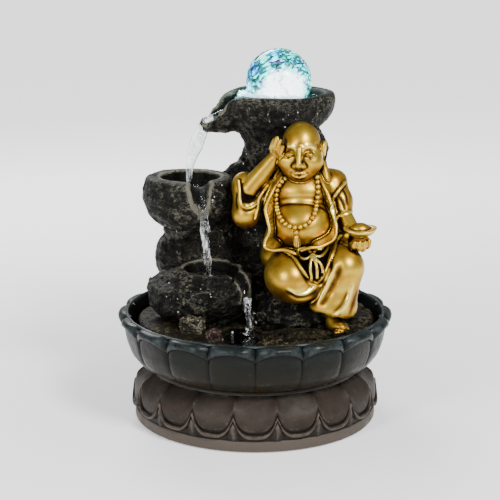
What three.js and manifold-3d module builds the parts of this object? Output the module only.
// A tabletop water fountain: a two-tier lotus base, a hollow rock tower with three bowls, a seated
// figure, a glass ball that spins on a lit water jet, and the small pump that drives it.
// Millimetres, +Z up. The origin is the centre of the base, on the table. The figure faces -Y.

import * as THREE from "three";
import { mergeVertices } from "three/addons/utils/BufferGeometryUtils.js";
import Module from "manifold-3d";

const wasm = await Module();
wasm.setup();

// ---- driving dimensions ----

const GAP = 0.3; // clearance between pieces that rest on each other
const CLEAR = 0.7; // how much larger than itself a rough piece is when it is cut from its neighbour
const THIN = 0.35; // how far thinning may move a rock or figure surface
const PETALS = 18; // petals round each lotus ring
const PETAL_STEPS = 4; // facets across one petal
const SINK = 1; // height of the plinth above the table, on its pads
const PEDESTAL_TOP = 39.7;
const BASIN_FLOOR = 46;
const BASIN_RIM = 83;
const DECK_TOP = 75; // the moulded ground inside the basin
const DECK_THICK = 5;
const DECK_R = 90.5;
const DECK_STEPS = 48; // facets round its edge

const BALL_R = 25;
const BALL = [18, 30, 253]; // centre of the glass ball
const UPPER_RIM = 245;
const MIDDLE_RIM = 184;
const LOWER_RIM = 119.5;
const LIGHT_FLOOR = 213; // floor of the lamp recess under the ball

const PUMP = [14, 36, BASIN_FLOOR + GAP]; // centre of the pump's footprint
const HATCH = { x: [-8, 48], y: [56, 95], z: [92, 134] };
const CORD_Z = 75; // height of the cord's hole in the basin wall
const STONE = 0x2b2823;
const GOLD = 0xb08a3a;

// ---- geometry helpers ----

function solid(geometry) {
  const source = geometry.index ? geometry.toNonIndexed() : geometry;
  const bare = new THREE.BufferGeometry();
  bare.setAttribute("position", source.getAttribute("position"));
  const merged = mergeVertices(bare, 1e-3);
  const index = merged.index.array;
  const kept = [];
  for (let i = 0; i < index.length; i += 3) {
    const [a, b, c] = [index[i], index[i + 1], index[i + 2]];
    if (a !== b && b !== c && c !== a) kept.push(a, b, c);
  }
  const vertProperties = merged.attributes.position.array;
  return new wasm.Manifold(new wasm.Mesh({ numProp: 3, vertProperties, triVerts: new Uint32Array(kept) }));
}

// The largest body of a solid, with the slivers that a boolean leaves dropped and its surface
// thinned to as few facets as stay within the tolerance.
function tidy(shape, tolerance = 0.06) {
  const bodies = shape.decompose().sort((a, b) => b.volume() - a.volume());
  return bodies[0].simplify(tolerance);
}

function union(shapes) {
  return shapes.reduce((sum, next) => sum.add(next));
}

function placed(geometry, at, turn = [0, 0, 0]) {
  const matrix = new THREE.Matrix4().makeRotationFromEuler(new THREE.Euler(...turn));
  return geometry.applyMatrix4(matrix).translate(...at);
}

function box(x, y, z) {
  const size = [x, y, z].map(([low, high]) => high - low);
  const middle = [x, y, z].map(([low, high]) => (low + high) / 2);
  return solid(placed(new THREE.BoxGeometry(...size), middle));
}

function ellipsoid(at, radii, grow = 0, turn = [0, 0, 0], round = 8) {
  const ball = new THREE.SphereGeometry(1, round, Math.round(round * 0.7)).rotateX(Math.PI / 2);
  return solid(placed(ball.scale(...radii.map((r) => r + grow)), at, turn));
}

// A rod with round ends from one point to another, thinning from one radius to the next.
function limb(from, to, fromR, toR, grow = 0) {
  const start = new THREE.Vector3(...from);
  const along = new THREE.Vector3(...to).sub(start);
  const length = along.length();
  const [r0, r1] = [fromR + grow, toR + grow];
  const round = Math.SQRT1_2;
  const profile = [
    [0, -r0], [r0 * round, -r0 * round], [r0, 0], [r1, length], [r1 * round, length + r1 * round],
    [0, length + r1],
  ];
  const geometry = new THREE.LatheGeometry(profile.map(([r, y]) => new THREE.Vector2(r, y)), 8);
  const upright = new THREE.Vector3(0, 1, 0);
  geometry.applyQuaternion(new THREE.Quaternion().setFromUnitVectors(upright, along.normalize()));
  return solid(geometry.translate(...from));
}

function rod(axis, r, low, high, at = [0, 0], sides = 16) {
  const geometry = new THREE.CylinderGeometry(r, r, high - low, sides);
  const middle = (low + high) / 2;
  if (axis === "z") return solid(placed(geometry.rotateX(Math.PI / 2), [...at, middle]));
  if (axis === "y") return solid(placed(geometry, [at[0], middle, at[1]]));
  return solid(placed(geometry.rotateZ(Math.PI / 2), [middle, ...at]));
}

// A profile of [radius, height] turned round the vertical axis through a point.
function turned(profile, at = [0, 0], sides = 20) {
  const points = profile.map(([r, z]) => new THREE.Vector2(r, z));
  return solid(placed(new THREE.LatheGeometry(points, sides).rotateX(Math.PI / 2), [...at, 0]));
}

function ring(inner, outer, low, high, at = [0, 0], sides = 20) {
  return turned([[inner, low], [outer, low], [outer, high], [inner, high], [inner, low]], at, sides);
}

// A lotus ring. Each profile point is [radius, height, outward, upward]: the last two move the point
// at the middle of a petal, and fade to nothing at the seam between two petals.
function lotus(profile, firstPetal) {
  const points = profile.map(([r, z]) => new THREE.Vector2(r, z));
  const geometry = new THREE.LatheGeometry(points, PETALS * PETAL_STEPS);
  const place = geometry.getAttribute("position");
  for (let i = 0; i < place.count; i++) {
    const [, , outward = 0, upward = 0] = profile[i % profile.length];
    const angle = Math.atan2(place.getX(i), place.getZ(i));
    const lobe = Math.abs(Math.cos((PETALS / 2) * (angle - firstPetal)));
    const r = Math.hypot(place.getX(i), place.getZ(i)) + outward * lobe;
    place.setXYZ(i, r * Math.sin(angle), place.getY(i) + upward * lobe, r * Math.cos(angle));
  }
  return solid(geometry.rotateX(Math.PI / 2));
}

// A boulder: a ball whose surface is pushed in and out by a few waves.
function boulder(at, radii, seed, grow = 0, detail = 2) {
  const geometry = new THREE.IcosahedronGeometry(1, detail);
  const place = geometry.getAttribute("position");
  const p = new THREE.Vector3();
  for (let i = 0; i < place.count; i++) {
    p.fromBufferAttribute(place, i);
    const waves =
      Math.sin(3.7 * p.x + seed) * Math.sin(4.3 * p.y + 1.7 * seed) +
      0.7 * Math.sin(5.9 * p.z + 2.3 * seed) * Math.sin(5.1 * p.x - seed) +
      0.5 * Math.sin(8.3 * p.y + 0.6 * seed) * Math.sin(7.7 * p.z + seed);
    p.multiplyScalar(1 + 0.045 * waves);
    place.setXYZ(i, ...p.toArray());
  }
  return solid(placed(geometry.scale(...radii.map((r) => r + grow)), at));
}

function tube(points, inner, outer, steps, sides = 8) {
  const section = new THREE.Shape().absarc(0, 0, outer, 0, 2 * Math.PI);
  if (inner) section.holes.push(new THREE.Path().absarc(0, 0, inner, 0, 2 * Math.PI, true));
  const extrudePath = new THREE.CatmullRomCurve3(points.map((p) => new THREE.Vector3(...p)));
  return solid(new THREE.ExtrudeGeometry(section, { steps, curveSegments: sides, extrudePath }));
}

// ---- lotus base ----

function pedestalShape() {
  const outer = [
    [0, SINK], [92, SINK], [92, 9], [91, 21, 1, -11.5], [92.5, 22.5, 3, -11], [91, 28, 2.5, -6],
    [86, 34.5, 1.5, 0], [79.5, PEDESTAL_TOP], [0, PEDESTAL_TOP],
  ];
  const inside = [[0, 0], [80, 0], [80, 6], [87, 6], [86, 24], [82, 31], [76.4, 36], [76.4, 45], [0, 45]];
  const pockets = PAD_PLACES.map((at) => rod("z", PAD_R + GAP, 0, 2.3, at));
  return tidy(lotus(outer, 0).subtract(turned(inside, [0, 0], 36)).subtract(union(pockets)));
}

function basinShape() {
  const wall = [
    [0, 40], [81.5, 40], [81, 42.5], [84, 43.5, 1, 0], [90, 47, 2, 0], [95, 55, 2.5, 0],
    [98, 69, 3.5, 0], [99, 74, 6, 3], [99, 78, 5.5, 2.5], [98.5, BASIN_RIM], [0, BASIN_RIM],
  ];
  const hollow = [
    [0, BASIN_FLOOR], [82, BASIN_FLOOR], [85, 48.5], [90, 58], [94, 72], [95.5, 80], [96.7, 90], [0, 90],
  ];
  const outside = lotus(wall, Math.PI / PETALS).add(ring(70, 76, 37, 42, [0, 0], 36));
  const cordHole = rod("y", GROMMET_R + GAP, 85, 110, [0, CORD_Z]);
  return tidy(outside.subtract(turned(hollow, [0, 0], 36)).subtract(cordHole));
}

const PAD_R = 4.5;
const PAD_PLACES = [45, 135, 225, 315].map((degrees) => {
  const angle = THREE.MathUtils.degToRad(degrees);
  return [86 * Math.cos(angle), 86 * Math.sin(angle)];
});

const GROMMET_R = 5.5;
function grommetShape() {
  const outside = rod("y", GROMMET_R, 91, 102.8, [0, CORD_Z]);
  const collar = rod("y", 7.5, 89.5, 92.1, [0, CORD_Z]);
  return tidy(outside.add(collar).subtract(rod("y", 3.5, 85, 110, [0, CORD_Z])));
}

// ---- rockwork ----

const BOULDERS = {
  foot: [[16, 36, 92], [54, 42, 50], 1.3],
  waist: [[24, 34, 150], [37, 32, 44], 2.1],
  shoulder: [[23, 33, 195], [33, 30, 36], 3.4],
  leftLobe: [[-43, 22, 118], [34.5, 26, 28], 4.6],
  bowlFoot: [[-46, 12, 144], [24, 22, 16], 5.2],
  saddle: [[-12, 27, 158], [18, 17, 32], 8.8],
  seat: [[34, -10, 87], [42, 38, 20], 6.1],
  stump: [[-38, -12, 86], [26, 22, 16], 7.7],
};

const boulders = (grow) => union(Object.values(BOULDERS).map(([at, r, seed]) => boulder(at, r, seed, grow)));

const STONES = {
  block_stone: [[-46, -47, 82], [10, 7, 8.5], 8.2],
  brown_stone: [[-30, -61, 79.5], [6, 5.5, 5.5], 9.4],
};

const stonesAround = () => Object.values(STONES).map(([at, r, seed]) => boulder(at, r, seed, CLEAR));

const BOWLS = {
  upper: { at: [18, 30, 238], size: [43, 40, 30], rim: UPPER_RIM, seed: 0.4 },
  middle: { at: [-50, 9, 170], size: [34.5, 32, 29.5], rim: MIDDLE_RIM, seed: 1.9 },
  lower: { at: [-40, -14, 103], size: [39, 34, 22], rim: LOWER_RIM, seed: 2.8 },
};

// The outside of a bowl, before it is hollowed.
function bowlOutside({ at, size, rim, seed }, grow = 0) {
  const whole = boulder(at, size, seed, grow, 3);
  return whole.intersect(box([-150, 150], [-150, 150], [0, rim + grow]));
}

// The lip of the upper bowl: a gutter that runs out to the left and slopes down.
const SPOUT = { at: [-20, 20, 230], turn: [0, -0.62, 0.16] };
const spoutOutside = (grow) => ellipsoid(SPOUT.at, [21, 12.5, 9], grow, SPOUT.turn, 12);
const spoutChannel = () => ellipsoid([-21, 19.8, 236], [30, 8.5, 8], 0, SPOUT.turn, 12);

function upperBowlShape() {
  const [x, y] = BALL;
  const outside = bowlOutside(BOWLS.upper).add(spoutOutside(0));
  const hollow = ellipsoid([x, y, UPPER_RIM], [37, 34, 19], 0, [0, 0, 0], 20);
  const recess = rod("z", 18, LIGHT_FLOOR, 230, [x, y], 20);
  const wayUp = rod("z", 8, 200, 216, [x, y]);
  const cuts = union([hollow, spoutChannel(), recess, wayUp, figureShape(CLEAR)]);
  return tidy(outside.subtract(cuts), THIN / 2);
}

function middleBowlShape() {
  const hollow = ellipsoid([-48.5, 10, MIDDLE_RIM + 2], [22, 20, 18], 0, [0, 0, 0], 16);
  const mouth = limb([-43, 0, 190], [-38, -24, 184], 8, 7.5);
  const channel = limb([-43, -2, 186], [-35, -34, 153], 7.5, 6.5);
  const cuts = union([hollow, mouth, channel]);
  return tidy(bowlOutside(BOWLS.middle).subtract(cuts), THIN / 2);
}

function lowerBowlShape() {
  const hollow = ellipsoid([-34, -14, LOWER_RIM + 1.5], [21, 18, 12], 0, [0, 0, 0], 16);
  const notch = limb([-22, -20, 122], [4, -43, 97], 6.5, 6);
  return tidy(bowlOutside(BOWLS.lower).subtract(hollow.add(notch)).subtract(figureShape(CLEAR)), THIN / 2);
}

// The room inside the tower: an oval pump chamber below, and a shaft that narrows up to the lamp.
const CHAMBER = { at: [14, 36], half: [42, 32] };
function chamber() {
  const [x, y] = CHAMBER.at;
  const low = new THREE.CylinderGeometry(1, 1, 46, 20).rotateX(Math.PI / 2);
  low.scale(...CHAMBER.half, 1);
  const shaft = turned([[0, 80], [27, 80], [26, 135], [18, 185], [13, 205], [13, 220], [0, 220]], [22, 34]);
  return solid(placed(low, [x, y, 63])).add(shaft);
}

function skirt(grow) {
  const [x, y] = CHAMBER.at;
  const wall = new THREE.CylinderGeometry(1, 1, 84 - BASIN_FLOOR - GAP, 20).rotateX(Math.PI / 2);
  wall.scale(CHAMBER.half[0] + 4 + grow, CHAMBER.half[1] + 4 + grow, 1);
  return solid(placed(wall, [x, y, (84 + BASIN_FLOOR + GAP) / 2]));
}

// The tower and its hatch as one shell, before the hatch is cut free.
function towerShell() {
  const aboveDeck = box([-150, 150], [-150, 150], [DECK_TOP + GAP, 300]);
  const rock = boulders(0).intersect(aboveDeck).add(skirt(0));
  const inlets = [-20, 14, 48].map((x) => box([x - 6, x + 6], [-5, 20], [40, 54]));
  const overLowerBowl = ellipsoid([-34, -13, LOWER_RIM + 6], [24, 22, 25], 0, [0, 0, 0], 12);
  const bowls = Object.values(BOWLS).map((bowl) => bowlOutside(bowl, CLEAR));
  const taken = [...bowls, ...stonesAround(), spoutOutside(CLEAR), figureShape(CLEAR)];
  return rock.subtract(union([chamber(), ...inlets, overLowerBowl, ...taken]));
}

function hatchBox(grow) {
  const wider = ([low, high]) => [low - grow, high + grow];
  return box(wider(HATCH.x), HATCH.y, wider(HATCH.z));
}

function deckShape() {
  const outline = new THREE.Shape();
  for (let i = 0; i < DECK_STEPS; i++) {
    const angle = (i / DECK_STEPS) * 2 * Math.PI;
    const r = DECK_R + 1.1 * Math.sin(5 * angle + 1) + 0.7 * Math.sin(9 * angle);
    if (i === 0) outline.moveTo(r, 0);
    else outline.lineTo(r * Math.cos(angle), r * Math.sin(angle));
  }
  const plate = new THREE.ExtrudeGeometry(outline, { depth: DECK_THICK, bevelEnabled: false });
  const ground = [
    boulder([-64, -36, 71], [20, 30, 12], 3.3), // bank on the left
    boulder([38, -56, 70], [46, 24, 10.5], 4.1), // mossy mound under the foot
    boulder([70, 6, 70], [16, 40, 10], 5.5), // bank on the right
    boulder([-40, 62, 70], [30, 18, 9], 6.6), // bank at the back
  ];
  const legs = [[-30, -66], [66, -24], [-46, 50]].map((at) => rod("z", 5, BASIN_FLOOR + GAP, 72, at, 12));
  const above = union(ground).intersect(box([-100, 100], [-100, 100], [DECK_TOP - 4, 100]));
  const within = rod("z", DECK_R, 40, 100, [0, 0], DECK_STEPS);
  const pool = ellipsoid([-9, -46, 74], [18, 23, 14], 0, [0, 0, 0], 14);
  const cordNotch = box([-10, 10], [84, 110], [60, 90]);
  const lowerBowl = bowlOutside(BOWLS.lower, CLEAR);
  const neighbours = [skirt(CLEAR), boulders(CLEAR), lowerBowl, figureShape(CLEAR), ...stonesAround()];
  const body = solid(plate.translate(0, 0, DECK_TOP - DECK_THICK)).add(above.intersect(within));
  const trimmed = body.subtract(union([pool, cordNotch]));
  const level = box([-120, 120], [-120, 120], [0, DECK_TOP]);
  const kept = trimmed.intersect(level).subtract(union([skirt(CLEAR), figureShape(CLEAR)]));
  const banks = trimmed.subtract(level).subtract(union(neighbours));
  return tidy(kept.add(banks).add(union(legs)), THIN / 2);
}

function stoneShape([at, radii, seed]) {
  const aboveDeck = box([-150, 150], [-150, 150], [DECK_TOP + GAP, 300]);
  return tidy(boulder(at, radii, seed).intersect(aboveDeck).subtract(bowlOutside(BOWLS.lower, CLEAR)));
}

// ---- seated figure ----

function figureShape(grow) {
  const body = [
    ellipsoid([33, -17, 209], [15.5, 17, 21], grow), // head
    ellipsoid([50, -13, 200], [2.8, 4.5, 13], grow), // left ear
    ellipsoid([17, -13, 197], [2.8, 4.5, 11], grow), // right ear
    ellipsoid([37, -11, 178], [27, 17, 20], grow), // chest
    ellipsoid([37, -20, 156], [29, 27, 24], grow), // belly
    ellipsoid([38, -14, 128], [34, 26, 22], grow), // hips
  ];
  const legs = [
    ellipsoid([26, -38, 121], [20, 25, 17], grow), // folded thigh
    limb([26, -50, 113], [50, -46, 112], 9, 7.5, grow), // folded shin
    limb([50, -22, 126], [66, -43, 130], 15, 14, grow), // raised thigh
    limb([66, -43, 129], [60, -47, 98], 13, 12, grow), // raised shin
    ellipsoid([58, -48, 94], [17, 13, 8], grow), // trouser hem
    ellipsoid([59, -57, 84.5], [7, 12, 5], grow), // foot
  ];
  const arms = [
    limb([58, -11, 182], [68, -16, 164], 10, 9, grow), // left upper arm
    limb([68, -16, 163], [75, -37, 148], 7.5, 5.5, grow), // left forearm
    ellipsoid([75.5, -42, 146], [8.5, 8, 3.8], grow), // left hand
    limb([16, -9, 180], [-6, -15, 176], 10, 8.5, grow), // right upper arm
    limb([-6, -15, 178], [14, -14, 206], 7.5, 5.5, grow), // right forearm
    ellipsoid([15.5, -13, 213], [4.5, 7, 9], grow), // right hand
    ellipsoid([-6, -14, 166], [12, 9, 15], grow), // hanging sleeve
  ];
  return union([...body, ...legs, ...arms]);
}

// A boat-shaped ingot, level on the hand.
function ingotShape() {
  const dish = turned([[0, -3.5], [7, -3], [12, 2], [12, 3], [9.5, 2], [7, 1], [0, 1]], [0, 0], 16);
  const dome = ellipsoid([0, 0, 1], [6.5, 6.5, 4.5], 0, [0, 0, 0], 12);
  return dish.add(dome).scale([1.05, 0.8, 1]);
}

// ---- ball, seat and lamp ----

function ballSeatShape() {
  return turned([[12.5, 226.3], [17.5, 226.3], [17.5, 234], [16.6, 234], [12.5, 230], [12.5, 226.3]]);
}

function lampHousingShape() {
  const low = LIGHT_FLOOR + GAP;
  const section = [
    [5.5, low], [17, low], [17, 224], [15.3, 224], [15.3, low + 2], [7.2, low + 2], [7.2, 224], [5.5, 224],
  ];
  return turned([...section, section[0]]);
}

function nozzleShape() {
  const outside = rod("z", 5.2, 208, 227).add(rod("z", 2.9, 198, 209));
  return outside.subtract(rod("z", 1.8, 190, 230, [0, 0], 12));
}

const [ballX, ballY] = BALL;
const HOSE = [
  [6, 36, 86.3], [6, 36, 95], [6, 36, 102], [14, 35, 130], [20, 32, 160], [18, 30, 188], [18, 30, 198],
  [18, 30, 207.5],
];
const LAMP_WIRE = [
  [24.6, 30, 213.1], [24.6, 30, 204], [27, 32, 190], [27, 42, 150], [22, 48, 110], [22, 46, 92],
  [22, 44, 81.2],
];

// ---- pump, in its own frame: rotor axis along X, standing on z = 0 ----

const AXIS = [0, 19]; // y and z of the rotor
const SHAFT_R = 1;
const PUMP_HALF = 15;
const PUMP_Z = [4, 34];
const pumpBlock = (x) => box(x, [-PUMP_HALF, PUMP_HALF], PUMP_Z);

function pumpBodyShape() {
  const motor = pumpBlock([-4, 22]);
  const well = rod("x", 7.3, -10, 15, AXIS).add(rod("x", 2.4, 10, 17.5, AXIS, 16));
  return motor.subtract(well);
}

function voluteShape() {
  const outlet = rod("z", 3.6, 30, 36).add(rod("z", 2.8, 35, 44)).translate([-8, 0, 0]);
  const block = pumpBlock([-12, -4.3]).add(outlet);
  const intakes = [0, 1, 2, 3].map((i) => {
    const angle = (i + 0.5) * (Math.PI / 2);
    return rod("x", 2.2, -20, -8, [AXIS[0] + 6.3 * Math.cos(angle), AXIS[1] + 6.3 * Math.sin(angle)], 10);
  });
  const chamberBore = rod("x", 10.5, -10, 0, AXIS);
  const bushSeat = rod("x", 2.4, -11, -9, AXIS, 16);
  const wayOut = rod("z", 1.8, 25, 50, [-8, 0], 12);
  return block.subtract(union([...intakes, chamberBore, bushSeat, wayOut]));
}

function pumpCoverShape() {
  const shell = pumpBlock([-22, -12.3]).subtract(box([-20, -10], [-13, 13], [6, 32]));
  const slots = [-9, -5, 5, 9].map((y) => box([-30, -19], [y - 1, y + 1], [9, 29]));
  const port = box([-30, -19], [-2.2, 2.2], [12, 26]);
  return shell.subtract(union([...slots, port]));
}

// A slide that covers the intake: a plate outside the cover, a stem through its slot, and a keeper.
function flowSliderShape() {
  const plate = box([-23.6, -22.3], [-3.2, 3.2], [20, 28]);
  const grip = box([-25.5, -23.5], [-2.5, 2.5], [26, 28]);
  const stem = box([-22.4, -19.6], [-1.8, 1.8], [21.5, 25.6]);
  const keeper = box([-19.7, -18.9], [-3.2, 3.2], [20, 27]);
  return union([plate, grip, stem, keeper]);
}

const shaftBore = () => rod("x", SHAFT_R + 0.12, -20, 20, AXIS, 12);

function impellerShape() {
  const hub = rod("x", 3.4, -8.8, -3.9, AXIS, 16);
  const blades = [0, 1].map((i) => {
    const blade = new THREE.BoxGeometry(3.8, 1.4, 17.6).rotateX((i * Math.PI) / 2 + 0.3);
    return solid(placed(blade, [-6.7, ...AXIS]));
  });
  return hub.add(union(blades)).subtract(shaftBore());
}

function suctionCupShape() {
  return turned([[0, 1.4], [3.6, 0], [5, 0], [3, 2], [1.8, 2.4], [1.8, 3.6], [0, 3.6]], [0, 0], 10);
}

// ---- assembly ----

function material(color, roughness, metalness = 0) {
  return new THREE.MeshStandardMaterial({ color, roughness, metalness });
}

const finish = {
  pedestal: material(0x4a3a33, 0.6),
  basin: material(0x2c3130, 0.5),
  stone: material(STONE, 0.7),
  stoneBrown: material(0x5a4338, 0.7),
  gold: material(GOLD, 0.35, 0.8),
  rubber: material(0x1c1c1c, 0.9),
  glass: material(0xbfeff5, 0.05),
  clear: material(0xd8e6e8, 0.15),
  black: material(0x17181a, 0.45),
  steel: material(0xb9bcc0, 0.3, 0.9),
  white: material(0xe6e6e2, 0.5),
  board: material(0x1f5a35, 0.5),
  led: material(0xf2f6ff, 0.2),
  foam: material(0x2f3133, 0.95),
};

function piece(name, shape, look, at = [0, 0, 0]) {
  const { numProp, numVert, vertProperties, triVerts } = shape.getMesh();
  const place = new Float32Array(numVert * 3);
  for (let i = 0; i < numVert; i++) place.set(vertProperties.subarray(i * numProp, i * numProp + 3), i * 3);
  const geometry = new THREE.BufferGeometry();
  geometry.setAttribute("position", new THREE.BufferAttribute(place, 3));
  geometry.setIndex(new THREE.BufferAttribute(new Uint32Array(triVerts), 1));
  geometry.computeVertexNormals();
  const mesh = new THREE.Mesh(geometry, look);
  mesh.name = name;
  mesh.position.set(...at);
  return mesh;
}

function base() {
  const group = new THREE.Group();
  group.add(piece("pedestal", pedestalShape(), finish.pedestal));
  PAD_PLACES.forEach(([x, y], i) => {
    group.add(piece(`foot_pad_${i + 1}`, rod("z", PAD_R, 0, 2), finish.rubber, [x, y, 0]));
  });
  group.add(piece("basin", basinShape(), finish.basin));
  group.add(piece("cord_grommet", grommetShape(), finish.rubber));
  return group;
}

function rockwork() {
  const group = new THREE.Group();
  const shell = towerShell();
  group.add(piece("ground_deck", deckShape(), finish.stone));
  group.add(piece("rock_tower", tidy(shell.subtract(hatchBox(0)), THIN), finish.stone));
  group.add(piece("pump_hatch", tidy(shell.intersect(hatchBox(-CLEAR)), THIN), finish.stone));
  group.add(piece("upper_bowl", upperBowlShape(), finish.stone));
  group.add(piece("middle_bowl", middleBowlShape(), finish.stone));
  group.add(piece("lower_bowl", lowerBowlShape(), finish.stone));
  group.add(piece("block_stone", stoneShape(STONES.block_stone), finish.stone));
  group.add(piece("brown_stone", stoneShape(STONES.brown_stone), finish.stoneBrown));
  return group;
}

function statue() {
  const group = new THREE.Group();
  const palm = ellipsoid([76.5, -42, 155], [15.5, 12.5, 6]); // room for the ingot on the hand
  group.add(piece("figure", tidy(figureShape(0).subtract(palm), THIN), finish.gold));
  group.add(piece("ingot", ingotShape(), finish.gold, [76.5, -42, 153.6]));
  return group;
}

function lamp() {
  const group = new THREE.Group();
  const { x, y } = { x: ballX, y: ballY };
  const ball = new THREE.SphereGeometry(BALL_R, 20, 14).rotateX(Math.PI / 2);
  group.add(piece("glass_ball", solid(ball), finish.glass, BALL));
  group.add(piece("ball_seat", ballSeatShape(), finish.clear, [x, y, 0]));
  group.add(piece("lamp_lens", ring(5.6, 17, 224.3, 226), finish.clear, [x, y, 0]));
  group.add(piece("lamp_housing", lampHousingShape(), finish.black, [x, y, 0]));
  group.add(piece("led_board", ring(7.6, 14.9, 215.8, 217.2), finish.board, [x, y, 0]));
  for (let i = 0; i < 6; i++) {
    const angle = (i / 6) * 2 * Math.PI;
    const at = [x + 11.2 * Math.cos(angle), y + 11.2 * Math.sin(angle), 0];
    group.add(piece(`led_${i + 1}`, rod("z", 2.4, 217.5, 222, [0, 0], 8), finish.led, at));
  }
  group.add(piece("jet_nozzle", nozzleShape(), finish.black, [x, y, 0]));
  group.add(piece("water_hose", tube(HOSE, 3.3, 4.6, 11, 4), finish.clear));
  group.add(piece("lamp_wire", tube(LAMP_WIRE, 0, 1, 14, 4), finish.black));
  return group;
}

function pump() {
  const group = new THREE.Group();
  group.position.set(...PUMP);
  group.add(piece("pump_body", pumpBodyShape(), finish.black));
  group.add(piece("pump_volute", voluteShape(), finish.black));
  group.add(piece("pump_cover", pumpCoverShape(), finish.black));
  group.add(piece("filter_foam", box([-18.5, -12.6], [-12.6, 12.6], [6.4, 31.6]), finish.foam));
  group.add(piece("flow_slider", flowSliderShape(), finish.white));
  group.add(piece("impeller", impellerShape(), finish.white));
  const magnet = rod("x", 6.6, -3.6, 14.4, AXIS).subtract(shaftBore());
  group.add(piece("rotor_magnet", magnet, finish.black));
  group.add(piece("rotor_shaft", rod("x", SHAFT_R, -10.7, 17, AXIS, 12), finish.steel));
  const bush = (low) => rod("x", 2.1, low, low + 1.8, AXIS, 16).subtract(shaftBore());
  group.add(piece("front_bush", bush(-10.9), finish.rubber));
  group.add(piece("rear_bush", bush(15.3), finish.rubber));
  [[2, -9], [2, 9], [16, -9], [16, 9]].forEach(([x, y], i) => {
    group.add(piece(`suction_cup_${i + 1}`, suctionCupShape(), finish.rubber, [x, y, 0]));
  });
  return group;
}

const fountain = new THREE.Group();
fountain.add(base(), rockwork(), statue(), lamp(), pump());

export default fountain;
